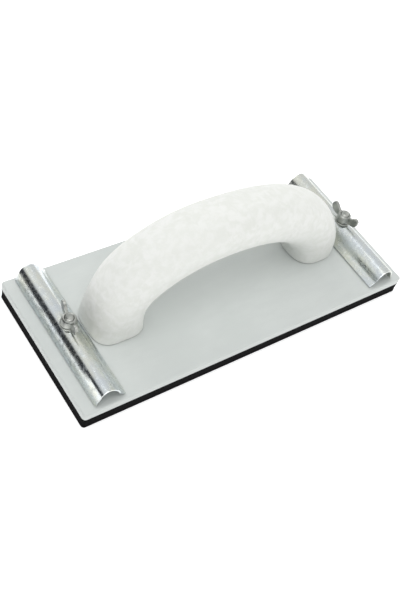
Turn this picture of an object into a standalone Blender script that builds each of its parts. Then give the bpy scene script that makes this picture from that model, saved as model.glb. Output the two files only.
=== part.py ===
"""Hand sander: a white board with an arched grip, a foam pad and two clamp bars held by wing nuts.

Metres, +Z up. X runs along the board, Y across it, and the origin is the centre of the pad's sanding face.
"""
import math

import bmesh
import bpy
import numpy as np
from mathutils import Matrix, Vector

GAP = 0.0003

BOARD_LENGTH = 0.230
BOARD_WIDTH = 0.098
BOARD_TOP = 0.0125
PAD_THICKNESS = 0.0075
PAD_CORNER = 0.002
BOARD_CORNER = 0.002
BOARD_TOP_EDGE = 0.0010

# The grip's centre line and sections, foot to foot: position along the board, height above the board,
# half the depth, half the width across the board, and how square the section is (2 is an ellipse).
GRIP_STATIONS = (
    (-0.0716, 0.0000, 0.0162, 0.0165, 3.4),
    (-0.0713, 0.0090, 0.0161, 0.0166, 2.7),
    (-0.0697, 0.0190, 0.0165, 0.0168, 2.2),
    (-0.0652, 0.0295, 0.0169, 0.0170, 2.1),
    (-0.0565, 0.0380, 0.0168, 0.0171, 2.1),
    (-0.0300, 0.0490, 0.0160, 0.0170, 2.2),
    (0.0000, 0.0507, 0.0156, 0.0168, 2.2),
    (0.0330, 0.0447, 0.0162, 0.0168, 2.2),
    (0.0590, 0.0290, 0.0166, 0.0164, 2.2),
    (0.0680, 0.0170, 0.0164, 0.0160, 2.3),
    (0.0715, 0.0080, 0.0160, 0.0158, 2.5),
    (0.0720, 0.0000, 0.0156, 0.0156, 2.6),
)
GRIP_SLICES_PER_STATION = 4
GRIP_SIDES = 32

# The clamp bar's whole pressed section: distance from the bolt towards the board's end, and height.
BAR_SECTION = (
    (-0.0106, 0.0008),
    (-0.0087, 0.0031),
    (-0.0068, 0.0055),
    (-0.0042, 0.0082),
    (-0.0020, 0.0099),
    (0.0006, 0.0105),
    (0.0030, 0.0099),
    (0.0050, 0.0083),
    (0.0062, 0.0060),
    (0.0067, 0.0046),
    (0.0082, 0.0005),
)
BAR_LENGTH = 0.093
BAR_SHEET = 0.0010
BAR_HOLE_RADIUS = 0.0030
BAR_CREST = 0.0105

BOLT_X = 0.0993
BOLT_RADIUS = 0.0024
BOLT_HEAD_RADIUS = 0.0060
BOLT_HEAD_HEIGHT = 0.0024
BOLT_NECK_SIDE = 0.0054
BOLT_NECK_HEIGHT = 0.0016
BOLT_TIP_Z = 0.0310
BOLT_TIP_CHAMFER = 0.0005

WASHER_RADIUS = 0.0050
WASHER_THICKNESS = 0.0010
BORE_RADIUS = 0.00275

NUT_BASE_RADIUS = 0.0047
NUT_TOP_RADIUS = 0.0041
NUT_HUB_HEIGHT = 0.0050
NUT_WING_THICKNESS = 0.0017
# One wing's outline: distance from the axis and height above the nut's base.
NUT_WING = (
    (0.0034, 0.0010),
    (0.0074, 0.0012),
    (0.0100, 0.0025),
    (0.0110, 0.0049),
    (0.0108, 0.0070),
    (0.0094, 0.0081),
    (0.0074, 0.0076),
    (0.0056, 0.0058),
    (0.0034, 0.0042),
)
NUT_TURNED = {"left": math.radians(-8.0), "right": math.radians(6.0)}

SCREW_X = (-0.0716, 0.0720)
SCREW_Y = 0.0080
SCREW_LENGTH = 0.0180
SCREW_RADIUS = 0.0019
SCREW_HEAD_RADIUS = 0.0039
SCREW_HEAD_HEIGHT = 0.0022
SCREW_POINT = 0.0030
SCREW_SLOT_LENGTH = 0.0044
SCREW_SLOT_WIDTH = 0.0009
SCREW_SLOT_DEPTH = 0.0012
SCREW_CLEARANCE = 0.0004

BOARD_LOW = PAD_THICKNESS + GAP
STANDING_Z = BOARD_TOP + GAP
HEAD_LOW = BOARD_LOW + 0.0002
CREST_Z = STANDING_Z + BAR_CREST
WASHER_Z = CREST_Z + GAP
NUT_Z = WASHER_Z + WASHER_THICKNESS + GAP
ROUND = 28

WHITE_BOARD = ((0.80, 0.82, 0.82), 0.42, 0.0)
WHITE_GRIP = ((0.80, 0.82, 0.78), 0.62, 0.0)
BLACK_FOAM = ((0.012, 0.012, 0.013), 0.90, 0.0)
ZINC = ((0.66, 0.68, 0.67), 0.28, 1.0)
DARK_ZINC = ((0.50, 0.51, 0.48), 0.34, 1.0)


def clear_scene():
    for thing in list(bpy.data.objects):
        bpy.data.objects.remove(thing, do_unlink=True)


def new_collection(name):
    group = bpy.data.collections.new(name)
    bpy.context.scene.collection.children.link(group)
    return group


def add_object(name, mesh, group, location=(0.0, 0.0, 0.0), turned=0.0):
    thing = bpy.data.objects.new(name, mesh)
    thing.location = location
    thing.rotation_euler = (0.0, 0.0, turned)
    group.objects.link(thing)
    return thing


def add_cutter(name, mesh, location=(0.0, 0.0, 0.0)):
    cutter = add_object(name, mesh, CUTTERS, location)
    cutter.hide_render = True
    cutter.display_type = "WIRE"
    return cutter


def paint(thing, look):
    colour, roughness, metallic = look
    material = bpy.data.materials.new(thing.name)
    material.use_nodes = True
    shader = material.node_tree.nodes["Principled BSDF"]
    shader.inputs["Base Color"].default_value = (*colour, 1.0)
    shader.inputs["Roughness"].default_value = roughness
    shader.inputs["Metallic"].default_value = metallic
    thing.data.materials.clear()
    thing.data.materials.append(material)


def smooth_round(mesh, sharp_degrees=35.0):
    mesh.shade_smooth()
    mesh.set_sharp_from_angle(angle=math.radians(sharp_degrees))


def cut(thing, cutter, operation="DIFFERENCE"):
    boolean = thing.modifiers.new(cutter.name, "BOOLEAN")
    boolean.operation = operation
    boolean.solver = "EXACT"
    boolean.object = cutter


def evaluated_mesh(thing):
    """The mesh a piece has once its modifiers are done, with loose caps welded."""
    depsgraph = bpy.context.evaluated_depsgraph_get()
    depsgraph.update()
    mesh = bpy.data.meshes.new_from_object(thing.evaluated_get(depsgraph))
    shape = bmesh.new()
    shape.from_mesh(mesh)
    bmesh.ops.remove_doubles(shape, verts=shape.verts, dist=0.00001)
    bmesh.ops.recalc_face_normals(shape, faces=shape.faces)
    shape.to_mesh(mesh)
    shape.free()
    return mesh


def box_mesh(name, size, centre=(0.0, 0.0, 0.0)):
    shape = bmesh.new()
    bmesh.ops.create_cube(shape, size=1.0)
    bmesh.ops.scale(shape, vec=size, verts=shape.verts)
    bmesh.ops.translate(shape, vec=centre, verts=shape.verts)
    mesh = bpy.data.meshes.new(name)
    shape.to_mesh(mesh)
    shape.free()
    return mesh


def cone_mesh(name, low_radius, high_radius, low_z, high_z):
    shape = bmesh.new()
    bmesh.ops.create_cone(
        shape,
        cap_ends=True,
        segments=ROUND,
        radius1=low_radius,
        radius2=high_radius,
        depth=high_z - low_z,
        matrix=Matrix.Translation((0.0, 0.0, (low_z + high_z) / 2.0)),
    )
    mesh = bpy.data.meshes.new(name)
    shape.to_mesh(mesh)
    shape.free()
    return mesh


def turned_mesh(name, profile):
    """A solid of revolution about Z, from (radius, height) points listed top to bottom."""
    line = bpy.data.meshes.new(name + " profile")
    line.from_pydata([(r, 0.0, z) for r, z in profile], [(i, i + 1) for i in range(len(profile) - 1)], [])
    holder = add_object(name + " profile", line, CUTTERS)
    screw = holder.modifiers.new("turn", "SCREW")
    screw.angle = math.tau
    screw.steps = ROUND
    screw.render_steps = ROUND
    screw.use_merge_vertices = True
    screw.merge_threshold = 0.00001
    mesh = evaluated_mesh(holder)
    mesh.name = name
    bpy.data.objects.remove(holder, do_unlink=True)
    return mesh


def outline_mesh(name, points, half_thickness):
    """A flat plate standing in the X-Z plane, from a closed outline."""
    curve = bpy.data.curves.new(name, "CURVE")
    curve.dimensions = "2D"
    curve.fill_mode = "BOTH"
    curve.extrude = half_thickness
    spline = curve.splines.new("POLY")
    spline.points.add(len(points) - 1)
    for point, (x, z) in zip(spline.points, points):
        point.co = (x, z, 0.0, 1.0)
    spline.use_cyclic_u = True
    holder = add_object(name, curve, CUTTERS)
    mesh = evaluated_mesh(holder)
    bpy.data.objects.remove(holder, do_unlink=True)
    mesh.transform(Matrix.Rotation(math.pi / 2.0, 4, "X"))
    return mesh


def slab(name, low_z, high_z, corner, top_edge):
    """A board-shaped solid whose upright corners and top edges are rounded by different amounts."""
    height = high_z - low_z
    mesh = box_mesh(name, (BOARD_LENGTH, BOARD_WIDTH, height), (0.0, 0.0, low_z + height / 2.0))
    widest = max(corner, top_edge)
    weights = mesh.attributes.new("bevel_weight_edge", "FLOAT", "EDGE")
    for edge, weight in zip(mesh.edges, weights.data):
        first, second = (mesh.vertices[i].co for i in edge.vertices)
        if abs(first.z - second.z) > height / 2.0:
            weight.value = corner / widest
        elif first.z > low_z + height / 2.0:
            weight.value = top_edge / widest
    piece = add_object(name, mesh, PARTS)
    bevel = piece.modifiers.new("rounded edges", "BEVEL")
    bevel.limit_method = "WEIGHT"
    bevel.width = widest
    bevel.segments = 4
    return piece


def screw_places():
    return [(x, y) for x in SCREW_X for y in (-SCREW_Y, SCREW_Y)]


def make_board():
    board = slab("base_board", BOARD_LOW, BOARD_TOP, BOARD_CORNER, BOARD_TOP_EDGE)
    hole_side = BOLT_NECK_SIDE + 2.0 * GAP
    past = 0.001
    for side, sign in (("left", -1.0), ("right", 1.0)):
        place = (sign * BOLT_X, 0.0, 0.0)
        square = box_mesh("bolt hole", (hole_side, hole_side, 0.04))
        cut(board, add_cutter("bolt_hole_" + side, square, place))
        recess_top = HEAD_LOW + BOLT_HEAD_HEIGHT + GAP
        recess_radius = BOLT_HEAD_RADIUS + GAP
        recess = cone_mesh("bolt recess", recess_radius, recess_radius, BOARD_LOW - past, recess_top)
        cut(board, add_cutter("bolt_recess_" + side, recess, place))
    for number, (x, y) in enumerate(screw_places(), start=1):
        narrow = SCREW_RADIUS + SCREW_CLEARANCE
        wide = SCREW_HEAD_RADIUS + SCREW_CLEARANCE
        hole = cone_mesh("screw hole", narrow, narrow, 0.0, 0.03)
        cut(board, add_cutter(f"screw_hole_{number}", hole, (x, y, 0.0)))
        slope = (wide - narrow) / SCREW_HEAD_HEIGHT
        sink_top = BOARD_LOW + SCREW_HEAD_HEIGHT
        sink = cone_mesh("countersink", wide + slope * past, narrow, BOARD_LOW - past, sink_top)
        cut(board, add_cutter(f"countersink_{number}", sink, (x, y, 0.0)))
    paint(board, WHITE_BOARD)


def make_pad():
    pad = slab("foam_pad", 0.0, PAD_THICKNESS, PAD_CORNER, 0.0)
    paint(pad, BLACK_FOAM)


def grip_sections():
    """The stations joined by a natural cubic spline over the distance along the centre line."""
    stations = np.array(GRIP_STATIONS)
    reach = np.linalg.norm(np.diff(stations[:, :2], axis=0), axis=1)
    system = np.eye(len(stations))
    sides = np.zeros_like(stations)
    for i in range(1, len(stations) - 1):
        before, after = reach[i - 1], reach[i]
        system[i, i - 1:i + 2] = before, 2.0 * (before + after), after
        sides[i] = 6.0 * ((stations[i + 1] - stations[i]) / after - (stations[i] - stations[i - 1]) / before)
    bend = np.linalg.solve(system, sides)
    sections = []
    for i, width in enumerate(reach):
        for step in range(GRIP_SLICES_PER_STATION):
            gone = width * step / GRIP_SLICES_PER_STATION
            left = width - gone
            sections.append(
                (bend[i] * left**3 + bend[i + 1] * gone**3) / (6.0 * width)
                + (stations[i] / width - bend[i] * width / 6.0) * left
                + (stations[i + 1] / width - bend[i + 1] * width / 6.0) * gone
            )
    sections.append(stations[-1])
    return sections


def rounded_square(angle, half_depth, half_width, squareness):
    """A point on a superellipse, which is an ellipse at squareness 2."""
    power = 2.0 / squareness
    cosine = math.cos(angle)
    sine = math.sin(angle)
    across = math.copysign(abs(cosine) ** power, cosine) * half_depth
    along = math.copysign(abs(sine) ** power, sine) * half_width
    return across, along


def make_grip():
    """The bow: a loft from a squarish foot through an oval grip to a rounder foot."""
    sections = grip_sections()
    shape = bmesh.new()
    rings = []
    for i, (x, z, half_depth, half_width, squareness) in enumerate(sections):
        ahead = sections[min(i + 1, len(sections) - 1)]
        behind = sections[max(i - 1, 0)]
        tangent = Vector((ahead[0] - behind[0], 0.0, ahead[1] - behind[1])).normalized()
        if i == 0:
            tangent = Vector((0.0, 0.0, 1.0))
        if i == len(sections) - 1:
            tangent = Vector((0.0, 0.0, -1.0))
        outward = Vector((-tangent.z, 0.0, tangent.x))
        centre = Vector((x, 0.0, STANDING_Z + z))
        ring = []
        for side in range(GRIP_SIDES):
            across, along = rounded_square(math.tau * side / GRIP_SIDES, half_depth, half_width, squareness)
            ring.append(shape.verts.new(centre + outward * across + Vector((0.0, along, 0.0))))
        rings.append(ring)
    for ring, following in zip(rings, rings[1:]):
        for side in range(GRIP_SIDES):
            beyond = (side + 1) % GRIP_SIDES
            shape.faces.new((ring[side], ring[beyond], following[beyond], following[side]))
    shape.faces.new(rings[0])
    shape.faces.new(rings[-1])
    bmesh.ops.recalc_face_normals(shape, faces=shape.faces)
    mesh = bpy.data.meshes.new("grip_handle")
    shape.to_mesh(mesh)
    shape.free()
    smooth_round(mesh)
    grip = add_object("grip_handle", mesh, PARTS)
    reach = HEAD_LOW + SCREW_LENGTH + 0.001
    for number, (x, y) in enumerate(screw_places(), start=1):
        radius = SCREW_RADIUS + SCREW_CLEARANCE
        pilot = cone_mesh("pilot hole", radius, radius, 0.0, reach)
        cut(grip, add_cutter(f"pilot_hole_{number}", pilot, (x, y, 0.0)))
    paint(grip, WHITE_GRIP)


def bar_mesh():
    """A strip bent to the pressed section, thickened inwards and pierced for the bolt."""
    curve = bpy.data.curves.new("clamp bar", "CURVE")
    curve.dimensions = "3D"
    curve.extrude = BAR_LENGTH / 2.0
    spline = curve.splines.new("POLY")
    spline.points.add(len(BAR_SECTION) - 1)
    for point, (x, z) in zip(spline.points, BAR_SECTION):
        point.co = (x, z, 0.0, 1.0)
    holder = add_object("clamp bar strip", curve, CUTTERS)
    strip = evaluated_mesh(holder)
    bpy.data.objects.remove(holder, do_unlink=True)
    strip.transform(Matrix.Rotation(math.pi / 2.0, 4, "X"))
    bar = add_object("clamp bar sheet", strip, CUTTERS)
    sheet = bar.modifiers.new("sheet thickness", "SOLIDIFY")
    sheet.thickness = BAR_SHEET
    sheet.offset = 1.0 if strip.polygons[0].normal.z < 0.0 else -1.0
    sheet.use_even_offset = True
    hole = add_cutter("bar_hole", cone_mesh("bar hole", BAR_HOLE_RADIUS, BAR_HOLE_RADIUS, 0.0, 0.02))
    cut(bar, hole)
    mesh = evaluated_mesh(bar)
    bpy.data.objects.remove(bar, do_unlink=True)
    bpy.data.objects.remove(hole, do_unlink=True)
    return mesh


def bolt_mesh():
    head_top = HEAD_LOW + BOLT_HEAD_HEIGHT
    profile = (
        (0.0, BOLT_TIP_Z),
        (BOLT_RADIUS - BOLT_TIP_CHAMFER, BOLT_TIP_Z),
        (BOLT_RADIUS, BOLT_TIP_Z - BOLT_TIP_CHAMFER),
        (BOLT_RADIUS, head_top),
        (BOLT_HEAD_RADIUS, head_top),
        (BOLT_HEAD_RADIUS, HEAD_LOW + BOLT_HEAD_HEIGHT / 3.0),
        (BOLT_HEAD_RADIUS - BOLT_HEAD_HEIGHT / 3.0, HEAD_LOW),
        (0.0, HEAD_LOW),
    )
    shank = add_object("bolt shank", turned_mesh("clamp bolt", profile), CUTTERS)
    neck_size = (BOLT_NECK_SIDE, BOLT_NECK_SIDE, 2.0 * BOLT_NECK_HEIGHT)
    neck = box_mesh("bolt neck", neck_size, (0.0, 0.0, head_top))
    square = add_cutter("square_neck", neck)
    cut(shank, square, "UNION")
    mesh = evaluated_mesh(shank)
    smooth_round(mesh)
    bpy.data.objects.remove(shank, do_unlink=True)
    bpy.data.objects.remove(square, do_unlink=True)
    return mesh


def washer_mesh():
    inner = BORE_RADIUS
    profile = (
        (inner, WASHER_THICKNESS),
        (WASHER_RADIUS, WASHER_THICKNESS),
        (WASHER_RADIUS, 0.0),
        (inner, 0.0),
        (inner, WASHER_THICKNESS),
    )
    mesh = turned_mesh("clamp washer", profile)
    smooth_round(mesh)
    return mesh


def wing_nut_mesh():
    hub_mesh = cone_mesh("wing nut", NUT_BASE_RADIUS, NUT_TOP_RADIUS, 0.0, NUT_HUB_HEIGHT)
    hub = add_object("nut hub", hub_mesh, CUTTERS)
    tools = []
    for side, turn in (("front", -math.pi / 2.0), ("back", math.pi / 2.0)):
        wing = outline_mesh("wing", NUT_WING, NUT_WING_THICKNESS / 2.0)
        wing.transform(Matrix.Rotation(turn, 4, "Z"))
        tools.append(add_cutter("wing_" + side, wing))
        cut(hub, tools[-1], "UNION")
    bore = cone_mesh("nut bore", BORE_RADIUS, BORE_RADIUS, -0.001, NUT_HUB_HEIGHT + 0.001)
    tools.append(add_cutter("nut_bore", bore))
    cut(hub, tools[-1])
    mesh = evaluated_mesh(hub)
    smooth_round(mesh)
    for tool in [hub, *tools]:
        bpy.data.objects.remove(tool, do_unlink=True)
    return mesh


def make_clamps():
    bar = bar_mesh()
    bolt = bolt_mesh()
    washer = washer_mesh()
    nut = wing_nut_mesh()
    for side, x, turned in (("left", -BOLT_X, math.pi), ("right", BOLT_X, 0.0)):
        paint(add_object("clamp_bar_" + side, bar.copy(), PARTS, (x, 0.0, STANDING_Z), turned), ZINC)
        paint(add_object("clamp_bolt_" + side, bolt.copy(), PARTS, (x, 0.0, 0.0)), ZINC)
        paint(add_object("clamp_washer_" + side, washer.copy(), PARTS, (x, 0.0, WASHER_Z)), ZINC)
        wing_nut = add_object("wing_nut_" + side, nut.copy(), PARTS, (x, 0.0, NUT_Z), NUT_TURNED[side])
        paint(wing_nut, DARK_ZINC)


def screw_mesh():
    tip = SCREW_LENGTH
    profile = (
        (0.0, tip),
        (SCREW_RADIUS, tip - SCREW_POINT),
        (SCREW_RADIUS, SCREW_HEAD_HEIGHT),
        (SCREW_HEAD_RADIUS, 0.0002),
        (SCREW_HEAD_RADIUS, 0.0),
        (0.0, 0.0),
    )
    body = add_object("screw body", turned_mesh("handle screw", profile), CUTTERS)
    tools = []
    for name, size in (
        ("slot_along", (SCREW_SLOT_LENGTH, SCREW_SLOT_WIDTH, 2.0 * SCREW_SLOT_DEPTH)),
        ("slot_across", (SCREW_SLOT_WIDTH, SCREW_SLOT_LENGTH, 2.0 * SCREW_SLOT_DEPTH)),
    ):
        tools.append(add_cutter(name, box_mesh(name, size)))
        cut(body, tools[-1])
    mesh = evaluated_mesh(body)
    smooth_round(mesh)
    for tool in [body, *tools]:
        bpy.data.objects.remove(tool, do_unlink=True)
    return mesh


def make_screws():
    screw = screw_mesh()
    for number, (x, y) in enumerate(screw_places(), start=1):
        piece = add_object(f"handle_screw_{number}", screw.copy(), PARTS, (x, y, HEAD_LOW))
        paint(piece, DARK_ZINC)


clear_scene()
PARTS = new_collection("hand_sander")
CUTTERS = new_collection("cutters")
make_pad()
make_board()
make_grip()
make_screws()
make_clamps()
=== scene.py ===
"""A hand sanding board: moulded board and bow grip, foam backing, and two clamp bars with wing nuts."""

import math

import bmesh
import bpy
import numpy as np
from mathutils import Matrix, Vector


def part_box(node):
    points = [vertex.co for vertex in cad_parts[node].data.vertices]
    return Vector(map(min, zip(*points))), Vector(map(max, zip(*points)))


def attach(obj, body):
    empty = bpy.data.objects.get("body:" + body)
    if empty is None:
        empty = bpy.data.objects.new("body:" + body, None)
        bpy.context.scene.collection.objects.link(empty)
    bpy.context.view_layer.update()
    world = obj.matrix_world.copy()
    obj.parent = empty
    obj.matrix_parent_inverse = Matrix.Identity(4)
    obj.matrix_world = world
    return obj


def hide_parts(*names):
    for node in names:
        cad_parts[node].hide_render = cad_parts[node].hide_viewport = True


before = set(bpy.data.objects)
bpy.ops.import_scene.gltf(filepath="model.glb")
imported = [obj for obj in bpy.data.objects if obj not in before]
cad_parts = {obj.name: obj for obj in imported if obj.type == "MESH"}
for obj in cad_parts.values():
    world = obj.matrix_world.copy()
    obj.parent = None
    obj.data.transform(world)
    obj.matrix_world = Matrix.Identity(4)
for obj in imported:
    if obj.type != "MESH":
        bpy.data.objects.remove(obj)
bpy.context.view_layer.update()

MM = 0.001

# The grip's centre line and section, as the CAD grip has them:
# place along the board, height, half depth, half width, squareness.
GRIP_STATIONS = (
    (-71.6, 0.0, 16.2, 16.5, 3.4),
    (-71.3, 9.0, 16.1, 16.6, 2.7),
    (-69.7, 19.0, 16.5, 16.8, 2.2),
    (-65.2, 29.5, 16.9, 17.0, 2.1),
    (-56.5, 38.0, 16.8, 17.1, 2.1),
    (-30.0, 49.0, 16.0, 17.0, 2.2),
    (0.0, 50.7, 15.6, 16.8, 2.2),
    (33.0, 44.7, 16.2, 16.8, 2.2),
    (59.0, 29.0, 16.6, 16.4, 2.2),
    (68.0, 17.0, 16.4, 16.0, 2.3),
    (71.5, 8.0, 16.0, 15.8, 2.5),
    (72.0, 0.0, 15.6, 15.6, 2.6),
)
GRIP_RINGS_PER_SPAN = 14
GRIP_SIDES = 96
GRIP_FOOT_ROUNDING = 0.7 * MM

# The clamp bar's pressed section, with a slight crease on its inner flank: distance towards the
# board's end, and height.
BAR_SECTION = (
    (-10.6, 0.8),
    (-8.6, 2.6),
    (-7.3, 3.8),
    (-6.1, 6.1),
    (-4.2, 8.3),
    (-2.0, 9.9),
    (0.6, 10.5),
    (3.0, 9.9),
    (5.0, 8.3),
    (6.2, 6.0),
    (6.7, 4.6),
    (8.2, 0.5),
)
BAR_FEET_ABOVE_BOARD = 0.3 * MM
BAR_SHEET = 0.9 * MM
BAR_POINTS_PER_SPAN = 6
BAR_SLICES = 62
BAR_EDGE_ROUNDING = 0.2 * MM
# The share by which the outline draws in at a cut end.
BAR_END_EASE = 0.012

THREAD_PITCH = 0.8 * MM
THREAD_RADIUS = 2.42 * MM
THREAD_ROOT = 1.98 * MM
THREAD_STEPS = 32

NUT_BASE_RADIUS = 4.7 * MM
NUT_TOP_RADIUS = 4.1 * MM
NUT_HUB_HEIGHT = 5.0 * MM
NUT_BORE = 2.6 * MM
NUT_WING_THICKNESS = 1.7 * MM
NUT_WING = (
    (3.4, 1.0),
    (7.4, 1.2),
    (10.0, 2.5),
    (11.0, 4.9),
    (10.8, 7.0),
    (9.4, 8.1),
    (7.4, 7.6),
    (5.6, 5.8),
    (3.4, 4.2),
)
NUT_TURNED = {"left": -8.0, "right": 6.0}

SIDES = {"left": -1.0, "right": 1.0}


# ---------------------------------------------------------------- finishes


class Wire:
    """One output in a finish's node tree, so that a finish reads as sums."""

    def __init__(self, tree, socket=None):
        self.tree = tree
        self.socket = socket

    def node(self, kind, settings=None, inputs=None, out=0):
        """Adds a node, sets it up, fills its inputs and gives one of its outputs."""
        made = self.tree.nodes.new(kind)
        for name, value in (settings or {}).items():
            if name == "stops":
                place_stops(made.color_ramp, value)
            else:
                setattr(made, name, value)
        for name, value in (inputs or {}).items():
            if isinstance(value, Wire):
                self.tree.links.new(value.socket, made.inputs[name])
            else:
                made.inputs[name].default_value = value
        return Wire(self.tree, made.outputs[out])

    def math(self, operation, *values):
        settings = {"operation": operation}
        return self.node("ShaderNodeMath", settings, dict(enumerate(values)))

    def __add__(self, other):
        return self.math("ADD", self, other)

    __radd__ = __add__

    def __sub__(self, other):
        return self.math("SUBTRACT", self, other)

    def __rsub__(self, other):
        return self.math("SUBTRACT", other, self)

    def __mul__(self, other):
        return self.math("MULTIPLY", self, other)

    __rmul__ = __mul__

    def band(self, low, high, to_low=0.0, to_high=1.0):
        """Spreads low..high over to_low..to_high with soft ends."""
        settings = {"interpolation_type": "SMOOTHSTEP"}
        inputs = {"Value": self, "From Min": low, "From Max": high, "To Min": to_low, "To Max": to_high}
        return self.node("ShaderNodeMapRange", settings, inputs)

    def tint(self, first, second):
        """A colour between first, at 0, and second, at 1."""
        settings = {"data_type": "RGBA"}
        return self.node("ShaderNodeMix", settings, {0: self, 6: colour(first), 7: colour(second)}, 2)

    def stretched(self, x, y, z):
        settings = {"operation": "MULTIPLY"}
        return self.node("ShaderNodeVectorMath", settings, {0: self, 1: (x, y, z)})

    def shifted(self, other, amount):
        """A place pushed about by a colour or vector."""
        settings = {"operation": "MULTIPLY_ADD"}
        return self.node("ShaderNodeVectorMath", settings, {0: other, 1: (amount,) * 3, 2: self})

    def noise(self, scale, detail=3.0, roughness=0.5, out=0):
        inputs = {"Vector": self, "Scale": scale, "Detail": detail, "Roughness": roughness}
        return self.node("ShaderNodeTexNoise", {}, inputs, out)

    def cells(self, scale, feature="F1", out=0):
        return self.node("ShaderNodeTexVoronoi", {"feature": feature}, {"Vector": self, "Scale": scale}, out)


def colour(value):
    return value if isinstance(value, Wire) else (*value, 1.0)


def place_stops(ramp, stops):
    while len(ramp.elements) < len(stops):
        ramp.elements.new(1.0)
    for element, (place, shade) in zip(ramp.elements, stops):
        element.position = place
        element.color = (*shade, 1.0)


def new_finish(name):
    """An empty material and the point on the surface, in the object's own metres."""
    material = bpy.data.materials.new(name)
    material.use_nodes = True
    material.node_tree.nodes.clear()
    start = Wire(material.node_tree)
    place = start.node("ShaderNodeTexCoord", out="Object")
    return material, place


def coat_surface(material, base, rough, height=None, depth=0.0, **constants):
    """Ends a finish in a Principled shader; what varies goes in by link and the rest as set values."""
    start = Wire(material.node_tree)
    inputs = {"Base Color": base, "Roughness": rough}
    for name, value in constants.items():
        inputs[name.replace("_", " ").title().replace("Ior", "IOR")] = value
    if height is not None:
        bump = {"Height": height, "Distance": depth, "Strength": 1.0}
        inputs["Normal"] = start.node("ShaderNodeBump", {}, bump)
    shader = start.node("ShaderNodeBsdfPrincipled", {}, inputs)
    output = material.node_tree.nodes.new("ShaderNodeOutputMaterial")
    material.node_tree.links.new(shader.socket, output.inputs["Surface"])
    return material


def board_plastic():
    """Cool white moulded plastic: satin, with faint flow clouding and fine handling marks."""
    material, place = new_finish("board plastic")
    cloud = place.noise(28.0, 4.0).band(0.35, 0.68)
    flow = place.stretched(1.0, 3.5, 1.0).noise(55.0, 5.0, 0.6).band(0.38, 0.66)
    grain = place.noise(2600.0, 2.0)
    scuff = place.stretched(9.0, 140.0, 9.0).noise(9.0, 2.0).band(0.62, 0.74)
    shade = cloud.tint((0.560, 0.592, 0.576), (0.590, 0.620, 0.604))
    shade = (flow * 0.35).tint(shade, (0.545, 0.572, 0.560))
    rough = 0.37 + cloud * 0.07 + scuff * 0.08 + flow * 0.04
    height = grain * 0.35 + flow * 0.5 + scuff * 0.2
    return coat_surface(material, shade, rough, height, 0.00004, ior=1.48)


def grip_plastic():
    """Warm white foamed plastic: a matt skin with the swirls and dimples that foaming leaves."""
    material, place = new_finish("grip plastic")
    push = place.noise(90.0, 2.0, 0.5, "Color")
    swirled = place.shifted(push, 0.006)
    swirl = swirled.noise(240.0, 3.0, 0.55).band(0.36, 0.66)
    dimple = swirled.cells(330.0, "SMOOTH_F1").band(0.15, 0.75)
    cloud = place.noise(40.0, 3.0).band(0.35, 0.65)
    grain = place.noise(3200.0, 2.0)
    shade = swirl.tint((0.735, 0.75, 0.71), (0.80, 0.81, 0.785))
    shade = (cloud * 0.4).tint(shade, (0.775, 0.79, 0.755))
    rough = 0.50 + swirl * 0.10 - dimple * 0.05 + grain * 0.04
    height = swirl * 0.55 + dimple * 0.55 + grain * 0.12
    return coat_surface(material, shade, rough, height, 0.00010, ior=1.48)


def foam_rubber():
    """Black cellular rubber, with open cells of under a millimetre on its cut faces."""
    material, place = new_finish("foam rubber")
    cell = place.cells(1500.0).band(0.05, 0.62)
    pore = place.cells(620.0).band(0.02, 0.30)
    dust = place.noise(180.0, 4.0).band(0.52, 0.80)
    shade = cell.tint((0.002, 0.002, 0.002), (0.007, 0.007, 0.0075))
    shade = (dust * 0.2).tint(shade, (0.016, 0.016, 0.015))
    rough = 0.84 + dust * 0.10
    height = cell * 0.6 + pore * 0.8
    return coat_surface(material, shade, rough, height, 0.00022, specular_ior_level=0.04)


def bar_zinc():
    """Bright zinc plate on pressed sheet: drawn along the bar, with a blue to straw passivation."""
    material, place = new_finish("bar zinc")
    drawn = place.stretched(1.0, 0.06, 1.0).noise(900.0, 4.0, 0.6)
    patch = place.stretched(1.0, 0.5, 1.0).noise(110.0, 4.0, 0.6)
    blotch = place.noise(320.0, 4.0, 0.65).band(0.48, 0.66)
    film = patch.band(0.34, 0.68)
    shade = film.tint((0.66, 0.71, 0.74), (0.73, 0.745, 0.67))
    shade = (blotch * 0.45).tint(shade, (0.56, 0.59, 0.585))
    rough = 0.16 + drawn * 0.08 + blotch * 0.16 + film * 0.03
    height = drawn * 0.25 + patch * 0.6 + blotch * 0.35
    return coat_surface(material, shade, rough, height, 0.00005, metallic=1.0)


def hardware_zinc():
    """Duller zinc on the small forged and cut pieces, darker in its pits."""
    material, place = new_finish("hardware zinc")
    cast = place.noise(1300.0, 4.0, 0.6)
    patch = place.noise(300.0, 3.0).band(0.36, 0.66)
    pit = place.cells(1700.0).band(0.04, 0.30)
    shade = patch.tint((0.34, 0.355, 0.335), (0.52, 0.53, 0.50))
    shade = (1.0 - pit).tint(shade, (0.16, 0.165, 0.155))
    rough = 0.24 + cast * 0.14 + patch * 0.05
    height = cast * 0.7 + pit * 0.35
    return coat_surface(material, shade, rough, height, 0.00006, metallic=1.0)


FINISHES = {
    "board_plastic": board_plastic(),
    "grip_plastic": grip_plastic(),
    "foam_rubber": foam_rubber(),
    "bar_zinc": bar_zinc(),
    "hardware_zinc": hardware_zinc(),
}


# ---------------------------------------------------------------- making pieces


def mesh_of(name, shape):
    mesh = bpy.data.meshes.new(name)
    bmesh.ops.recalc_face_normals(shape, faces=shape.faces)
    shape.to_mesh(mesh)
    shape.free()
    return mesh


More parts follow.
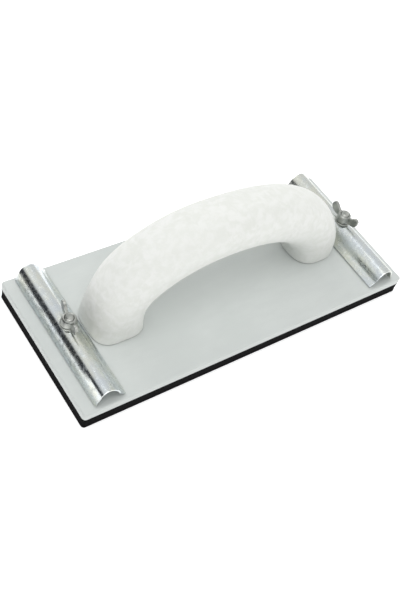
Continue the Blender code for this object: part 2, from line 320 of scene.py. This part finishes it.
def add_piece(name, mesh, finish, body, node=None, smooth_up_to=40.0):
    """Shows a mesh as a piece of the sander that rides on a body and stands for a CAD node."""
    piece = bpy.data.objects.new(name, mesh)
    bpy.context.scene.collection.objects.link(piece)
    mesh.materials.clear()
    mesh.materials.append(FINISHES[finish])
    mesh.shade_smooth()
    mesh.set_sharp_from_angle(angle=math.radians(smooth_up_to))
    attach(piece, body)
    if node:
        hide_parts(node)
    return piece


def baked(mesh, *changes):
    """Runs modifiers on a mesh and gives the result; each change is (kind, settings)."""
    holder = bpy.data.objects.new("in work", mesh)
    bpy.context.scene.collection.objects.link(holder)
    for kind, settings in changes:
        modifier = holder.modifiers.new(kind, kind)
        for name, value in settings.items():
            setattr(modifier, name, value)
    graph = bpy.context.evaluated_depsgraph_get()
    made = bpy.data.meshes.new_from_object(holder.evaluated_get(graph))
    bpy.data.objects.remove(holder)
    return made


def skin_rings(shape, rings, closed_rings=True):
    """Joins neighbouring rings of points with faces."""
    for ring, following in zip(rings, rings[1:]):
        count = len(ring) if closed_rings else len(ring) - 1
        for i in range(count):
            j = (i + 1) % len(ring)
            shape.faces.new((ring[i], ring[j], following[j], following[i]))


def smooth_line(points, per_span):
    """A curve through the points: a natural cubic spline over the distance along them."""
    points = np.array(points, float)
    reach = np.linalg.norm(np.diff(points[:, :2], axis=0), axis=1)
    along = np.concatenate([[0.0], np.cumsum(reach)])
    count = len(points)
    system = np.eye(count)
    sides = np.zeros_like(points)
    for i in range(1, count - 1):
        before, after = reach[i - 1], reach[i]
        system[i, i - 1:i + 2] = before, 2.0 * (before + after), after
        sides[i] = 6.0 * ((points[i + 1] - points[i]) / after - (points[i] - points[i - 1]) / before)
    bend = np.linalg.solve(system, sides)
    line = []
    for i in range(count - 1):
        width = reach[i]
        for step in range(per_span):
            s = width * step / per_span
            r = width - s
            line.append(
                (bend[i] * r**3 + bend[i + 1] * s**3) / (6.0 * width)
                + (points[i] / width - bend[i] * width / 6.0) * r
                + (points[i + 1] / width - bend[i + 1] * width / 6.0) * s
            )
    line.append(points[-1])
    return np.array(line)


# ---------------------------------------------------------------- board, foam and grip


def make_board():
    """The board keeps its CAD solid, which already has its rounded corners, holes and recesses."""
    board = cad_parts["base_board"]
    board.data.materials.clear()
    board.data.materials.append(FINISHES["board_plastic"])


def rounded_outline(half_x, half_y, corner, steps):
    points = []
    corners = ((1, 1, 0.0), (-1, 1, 0.5), (-1, -1, 1.0), (1, -1, 1.5))
    for sign_x, sign_y, turn in corners:
        for step in range(steps + 1):
            angle = math.pi * (turn + 0.5 * step / steps)
            x = sign_x * (half_x - corner) + corner * math.cos(angle)
            y = sign_y * (half_y - corner) + corner * math.sin(angle)
            points.append((x, y))
    return points


def make_foam():
    """The backing foam: cut sides that bow in slightly between two crisp edges."""
    low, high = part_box("foam_pad")
    half_x, half_y = high.x, high.y
    corner = 2.0 * MM
    edge = 0.35 * MM
    bow = 0.22 * MM
    layers = [(edge, low.z)]
    for step in range(1, 4):
        turn = math.pi / 2.0 * step / 3.0
        layers.append((edge * (1.0 - math.sin(turn)), low.z + edge * (1.0 - math.cos(turn))))
    for step in range(1, 8):
        share = step / 8.0
        height = low.z + edge + (high.z - low.z - 2.0 * edge) * share
        layers.append((bow * math.sin(math.pi * share), height))
    for inset, height in reversed(layers[:4]):
        layers.append((inset, high.z - (height - low.z)))
    shape = bmesh.new()
    rings = []
    for inset, height in layers:
        outline = rounded_outline(half_x - inset, half_y - inset, corner, 6)
        rings.append([shape.verts.new((x, y, height)) for x, y in outline])
    skin_rings(shape, rings)
    shape.faces.new(rings[0])
    shape.faces.new(rings[-1])
    pad = add_piece("foam_backing", mesh_of("foam backing", shape), "foam_rubber", "sander", "foam_pad")


def superellipse(angle, half_depth, half_width, squareness):
    power = 2.0 / squareness
    cosine, sine = math.cos(angle), math.sin(angle)
    across = math.copysign(abs(cosine) ** power, cosine) * half_depth
    along = math.copysign(abs(sine) ** power, sine) * half_width
    return across, along


def make_grip():
    """The bow, lofted along its centre line, with a slightly eased edge where each foot meets the board."""
    low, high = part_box("grip_handle")
    line = smooth_line(GRIP_STATIONS, GRIP_RINGS_PER_SPAN)
    line[:, :4] *= MM
    shape = bmesh.new()
    rings = []
    last = len(line) - 1
    for i, (x, z, half_depth, half_width, squareness) in enumerate(line):
        ahead, behind = line[min(i + 1, last)], line[max(i - 1, 0)]
        tangent = Vector((ahead[0] - behind[0], 0.0, ahead[1] - behind[1])).normalized()
        near_foot = max(0.0, 1.0 - z / (6.0 * MM))
        upright = Vector((0.0, 0.0, 1.0 if i < last / 2 else -1.0))
        tangent = tangent.lerp(upright, near_foot**2 * (3.0 - 2.0 * near_foot)).normalized()
        outward = Vector((-tangent.z, 0.0, tangent.x))
        centre = Vector((x, 0.0, low.z + z))
        eased = GRIP_FOOT_ROUNDING * max(0.0, 1.0 - z / GRIP_FOOT_ROUNDING) ** 2
        ring = []
        for side in range(GRIP_SIDES):
            angle = math.tau * side / GRIP_SIDES
            across, along = superellipse(angle, half_depth - eased, half_width - eased, squareness)
            ring.append(shape.verts.new(centre + outward * across + Vector((0.0, along, 0.0))))
        rings.append(ring)
    skin_rings(shape, rings)
    shape.faces.new(rings[0])
    shape.faces.new(rings[-1])
    add_piece("bow_grip", mesh_of("bow grip", shape), "grip_plastic", "sander", "grip_handle", 60.0)


# ---------------------------------------------------------------- clamps


def sheet_outline(section, thickness):
    """The closed outline of bent sheet: the outer face, then the inner face back, one thickness below it."""
    along = np.gradient(section, axis=0)
    along /= np.linalg.norm(along, axis=1)[:, None]
    below = np.stack([along[:, 1], -along[:, 0]], axis=1)
    # Near the feet the inner face would dip under the outer edge, so it stops level with it.
    inner = section + below * thickness
    inner[:, 1] = np.maximum(inner[:, 1], min(section[0][1], section[-1][1]))
    return np.vstack([section, inner[::-1]])


def make_bar(side, sign):
    """A pressed sheet bar: an arch with one steep shoulder, swept along the bar and eased at its cut ends."""
    node = "clamp_bar_" + side
    low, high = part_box(node)
    half_length = (high.y - low.y) / 2.0
    board_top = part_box("base_board")[1].z
    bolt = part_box("clamp_bolt_" + side)
    centre_x = (bolt[0].x + bolt[1].x) / 2.0
    outer = smooth_line(BAR_SECTION, BAR_POINTS_PER_SPAN) * MM
    full = sheet_outline(outer, BAR_SHEET)
    eased = full + (full.mean(axis=0) - full) * BAR_END_EASE
    ends = ((half_length, eased), (half_length - BAR_EDGE_ROUNDING, full))
    places = [(-y, outline) for y, outline in ends]
    places += [
        ((2.0 * i / BAR_SLICES - 1.0) * (half_length - 2.0 * BAR_EDGE_ROUNDING), full)
        for i in range(BAR_SLICES + 1)
    ]
    places += [(y, outline) for y, outline in reversed(ends)]
    shape = bmesh.new()
    rings = []
    for y, outline in places:
        ring = []
        for across, height in outline:
            x = centre_x + sign * across
            ring.append(shape.verts.new((x, y, board_top + BAR_FEET_ABOVE_BOARD + height)))
        rings.append(ring)
    skin_rings(shape, rings)
    count = len(outer)
    for ring in (rings[0], rings[-1]):
        inner = ring[:count - 1:-1]
        for i in range(count - 1):
            shape.faces.new((ring[i], ring[i + 1], inner[i + 1], inner[i]))
    mesh = mesh_of("clamp bar " + side, shape)
    add_piece("pressed_bar_" + side, mesh, "bar_zinc", side + "_clamp", node, 50.0)


def turned(name, profile, steps=48):
    """A solid of revolution about Z from a closed loop of (radius, height) points."""
    shape = bmesh.new()
    rings = []
    for radius, height in profile:
        ring = []
        for step in range(steps):
            angle = math.tau * step / steps
            ring.append(shape.verts.new((radius * math.cos(angle), radius * math.sin(angle), height)))
        rings.append(ring)
    skin_rings(shape, rings + rings[:1])
    return mesh_of(name, shape)


def make_washer(side):
    """A stamped washer, rounded on the punch side."""
    node = "clamp_washer_" + side
    low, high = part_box(node)
    centre = (low + high) / 2.0
    outer, inner = (high.x - low.x) / 2.0, 2.75 * MM
    half = (high.z - low.z) / 2.0
    round_edge = 0.28 * MM
    profile = [(inner, -half), (outer - 0.06 * MM, -half), (outer, -half + 0.06 * MM)]
    for step in range(5):
        turn = math.pi / 2.0 * step / 4.0
        drawn_in = round_edge * (1.0 - math.cos(turn))
        profile.append((outer - drawn_in, half - round_edge * (1.0 - math.sin(turn))))
    profile += [(inner + 0.1 * MM, half), (inner, half - 0.1 * MM)]
    mesh = turned("washer " + side, profile)
    mesh.transform(Matrix.Translation(centre))
    add_piece("stamped_washer_" + side, mesh, "hardware_zinc", side + "_clamp", node)


def thread_depth(turns):
    """How deep the thread is at a share of one pitch: 0 on the crest and 1 in the root."""
    share = turns % 1.0
    slope = min(share, 1.0 - share) * 2.0
    return min(1.0, max(0.0, (slope - 0.12) / 0.62))


def make_bolt(side):
    """A clamp bolt: a chamfered tip, a cut thread down to a plain shank, a square neck and a flat head."""
    node = "clamp_bolt_" + side
    low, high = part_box(node)
    centre = Vector(((low.x + high.x) / 2.0, 0.0, 0.0))
    head_radius = (high.x - low.x) / 2.0
    head_top = low.z + 2.4 * MM
    neck_top = head_top + 1.6 * MM
    thread_end = neck_top + 2.0 * MM
    layer = THREAD_PITCH / 10.0
    count = int((high.z - thread_end) / layer)
    shape = bmesh.new()
    rings = []
    for i in range(count + 1):
        height = high.z - i * layer
        ring = []
        for step in range(THREAD_STEPS):
            angle = math.tau * step / THREAD_STEPS
            turns = height / THREAD_PITCH - step / THREAD_STEPS
            radius = THREAD_RADIUS - (THREAD_RADIUS - THREAD_ROOT) * thread_depth(turns)
            chamfer = THREAD_ROOT - 0.15 * MM + (high.z - height)
            radius = min(radius, chamfer)
            ring.append(shape.verts.new((radius * math.cos(angle), radius * math.sin(angle), height)))
        rings.append(ring)
    for radius, height in (
        (THREAD_RADIUS - 0.05 * MM, thread_end - 0.3 * MM),
        (THREAD_RADIUS - 0.05 * MM, neck_top),
    ):
        rings.append(circle_ring(shape, radius, height))
    rings.append(square_ring(shape, 2.7 * MM, neck_top))
    rings.append(square_ring(shape, 2.7 * MM, head_top))
    rings.append(circle_ring(shape, head_radius, head_top))
    rings.append(circle_ring(shape, head_radius, low.z + 0.8 * MM))
    rings.append(circle_ring(shape, head_radius - 0.8 * MM, low.z))
    skin_rings(shape, rings)
    shape.faces.new(rings[0])
    shape.faces.new(rings[-1])
    mesh = mesh_of("threaded bolt " + side, shape)
    mesh.transform(Matrix.Translation(centre))
    add_piece("threaded_bolt_" + side, mesh, "hardware_zinc", "sander", node, 35.0)


def circle_ring(shape, radius, height):
    ring = []
    for step in range(THREAD_STEPS):
        angle = math.tau * step / THREAD_STEPS
        ring.append(shape.verts.new((radius * math.cos(angle), radius * math.sin(angle), height)))
    return ring


def square_ring(shape, half, height):
    ring = []
    for step in range(THREAD_STEPS):
        angle = math.tau * step / THREAD_STEPS
        reach = half / max(abs(math.cos(angle)), abs(math.sin(angle)))
        ring.append(shape.verts.new((reach * math.cos(angle), reach * math.sin(angle), height)))
    return ring


def wing_mesh(direction):
    """One ear of the nut: an outline with softened corners, thicker at its root than at its rim."""
    outline = smooth_line([*NUT_WING, NUT_WING[0]], 5)[:-1] * MM
    shape = bmesh.new()
    faces = []
    for face_side in (-1.0, 1.0):
        ring = []
        for radius, height in outline:
            thick = NUT_WING_THICKNESS * (1.12 - 0.030 * max(0.0, radius / MM - 4.0))
            ring.append(shape.verts.new((face_side * thick / 2.0, direction * radius, height)))
        faces.append(ring)
    skin_rings(shape, faces)
    shape.faces.new(faces[0])
    shape.faces.new(faces[1])
    return mesh_of("nut ear", shape)


def make_nut(side):
    """A cast wing nut: hub and ears run together with soft roots, around the bore that the hub's turned
    profile already has.
    """
    node = "wing_nut_" + side
    low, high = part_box(node)
    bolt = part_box("clamp_bolt_" + side)
    centre = Vector(((bolt[0].x + bolt[1].x) / 2.0, 0.0, low.z))
    hub_profile = (
        (NUT_BORE + 0.25 * MM, 0.0),
        (NUT_BASE_RADIUS - 0.3 * MM, 0.0),
        (NUT_BASE_RADIUS, 0.35 * MM),
        (NUT_BASE_RADIUS, 1.2 * MM),
        (NUT_TOP_RADIUS, NUT_HUB_HEIGHT - 0.7 * MM),
        (NUT_TOP_RADIUS - 0.6 * MM, NUT_HUB_HEIGHT),
        (NUT_BORE + 0.35 * MM, NUT_HUB_HEIGHT),
        (NUT_BORE, NUT_HUB_HEIGHT - 0.4 * MM),
        (NUT_BORE, 0.3 * MM),
    )
    shape = bmesh.new()
    shape.from_mesh(turned("nut hub", hub_profile))
    for direction in (-1.0, 1.0):
        shape.from_mesh(wing_mesh(direction))
    cast = baked(
        mesh_of("wing nut " + side, shape),
        ("REMESH", {"mode": "VOXEL", "voxel_size": 0.15 * MM}),
        ("SMOOTH", {"factor": 0.5, "iterations": 2}),
    )
    cast.transform(Matrix.Rotation(math.radians(NUT_TURNED[side]), 4, "Z"))
    cast.transform(Matrix.Translation(centre))
    add_piece("cast_nut_" + side, cast, "hardware_zinc", side + "_nut", node, 50.0)


def finish_hidden_screws():
    for number in range(1, 5):
        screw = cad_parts[f"handle_screw_{number}"]
        screw.data.materials.clear()
        screw.data.materials.append(FINISHES["hardware_zinc"])


# ---------------------------------------------------------------- studio

CAMERA_AIM = Vector((-0.0284, -0.0213, 0.0322))
CAMERA_DISTANCE = 0.500
CAMERA_AZIMUTH = -47.37
CAMERA_ELEVATION = 49.68
CAMERA_ROLL = 18.07
CAMERA_LENS = 53.6

# Lamps: azimuth and elevation in degrees, distance and size in metres, power in watts.
LAMPS = {
    "overhead": (-60.0, 68.0, 1.5, (1.3, 1.3), 9.5),
    "fill": (185.0, 34.0, 1.2, (1.0, 0.6), 2.2),
}
SKY_STRENGTH = 0.80
PAPER_GLOW = 0.40
# The dark card: its place along X, its near and far edges along Y, and its height, in metres.
CARD = (-0.145, -0.012, 0.16, 0.05)


def direction(azimuth, elevation):
    a, e = math.radians(azimuth), math.radians(elevation)
    return Vector((math.sin(a) * math.cos(e), -math.cos(a) * math.cos(e), math.sin(e)))


def make_camera():
    camera = bpy.data.objects.new("camera", bpy.data.cameras.new("camera"))
    bpy.context.scene.collection.objects.link(camera)
    back = direction(CAMERA_AZIMUTH, CAMERA_ELEVATION)
    camera.location = CAMERA_AIM + back * CAMERA_DISTANCE
    facing = (-back).to_track_quat("-Z", "Y").to_matrix().to_4x4()
    roll = Matrix.Rotation(math.radians(CAMERA_ROLL), 4, "Z")
    camera.matrix_world = Matrix.Translation(camera.location) @ facing @ roll
    camera.data.lens = CAMERA_LENS
    camera.data.sensor_width = 36.0
    camera.data.clip_start = 0.01
    bpy.context.scene.camera = camera


def make_lamp(name, azimuth, elevation, distance, size, power):
    data = bpy.data.lights.new(name, "AREA")
    data.shape = "RECTANGLE"
    data.size, data.size_y = size
    data.energy = power
    lamp = bpy.data.objects.new(name, data)
    bpy.context.scene.collection.objects.link(lamp)
    back = direction(azimuth, elevation)
    lamp.location = back * distance
    lamp.rotation_euler = (-back).to_track_quat("-Z", "Y").to_euler()


def make_card(name, x, near, far, height):
    """A dark card standing beside the sander, out of sight, for its bright metal to mirror."""
    shape = bmesh.new()
    corners = ((x, near, 0.0), (x, far, 0.0), (x, far, height), (x, near, height))
    shape.faces.new([shape.verts.new(corner) for corner in corners])
    card = bpy.data.objects.new(name, mesh_of(name, shape))
    bpy.context.scene.collection.objects.link(card)
    card.visible_camera = False
    card.visible_diffuse = False
    card.visible_shadow = False
    black = bpy.data.materials.new(name)
    black.use_nodes = True
    black.node_tree.nodes["Principled BSDF"].inputs["Base Color"].default_value = (0.02, 0.022, 0.028, 1.0)
    black.node_tree.nodes["Principled BSDF"].inputs["Roughness"].default_value = 0.9
    card.data.materials.append(black)


def make_studio():
    """A bright overhead sweep over white paper, with the dim lower walls of a room round it."""
    world = bpy.data.worlds.new("studio")
    world.use_nodes = True
    sky = world.node_tree
    start = Wire(sky)
    way = start.node("ShaderNodeTexCoord", out="Generated")
    across = way.node("ShaderNodeSeparateXYZ", {}, {0: way}, 0)
    up = way.node("ShaderNodeSeparateXYZ", {}, {0: way}, 2)
    # Only the wall on the left is dark; every other way the room is as bright as its ceiling.
    level = up + across.band(-0.55, -0.15) * 0.6
    stops = ((0.0, (0.03, 0.035, 0.045)), (0.46, (0.06, 0.07, 0.08)), (0.60, (1.0, 1.0, 1.0)))
    glow = level.node("ShaderNodeValToRGB", {"stops": stops}, {0: level})
    sky.links.new(glow.socket, sky.nodes["Background"].inputs["Color"])
    sky.nodes["Background"].inputs["Strength"].default_value = SKY_STRENGTH
    bpy.context.scene.world = world
    shape = bmesh.new()
    bmesh.ops.create_grid(shape, x_segments=1, y_segments=1, size=3.0)
    floor = bpy.data.objects.new("floor", mesh_of("floor", shape))
    floor.location.z = -0.0004
    bpy.context.scene.collection.objects.link(floor)
    paper = bpy.data.materials.new("white paper")
    paper.use_nodes = True
    shader = paper.node_tree.nodes["Principled BSDF"]
    shader.inputs["Base Color"].default_value = (0.93, 0.93, 0.93, 1.0)
    shader.inputs["Roughness"].default_value = 0.9
    shader.inputs["Emission Color"].default_value = (1.0, 1.0, 1.0, 1.0)
    shader.inputs["Emission Strength"].default_value = PAPER_GLOW
    floor.data.materials.append(paper)
    for name, lamp in LAMPS.items():
        make_lamp(name, *lamp)
    make_card("left card", *CARD)
    bpy.context.scene.view_settings.view_transform = "Standard"


make_board()
make_foam()
make_grip()
for side, sign in SIDES.items():
    make_bar(side, sign)
    make_washer(side)
    make_bolt(side)
    make_nut(side)
finish_hidden_screws()
make_camera()
make_studio()
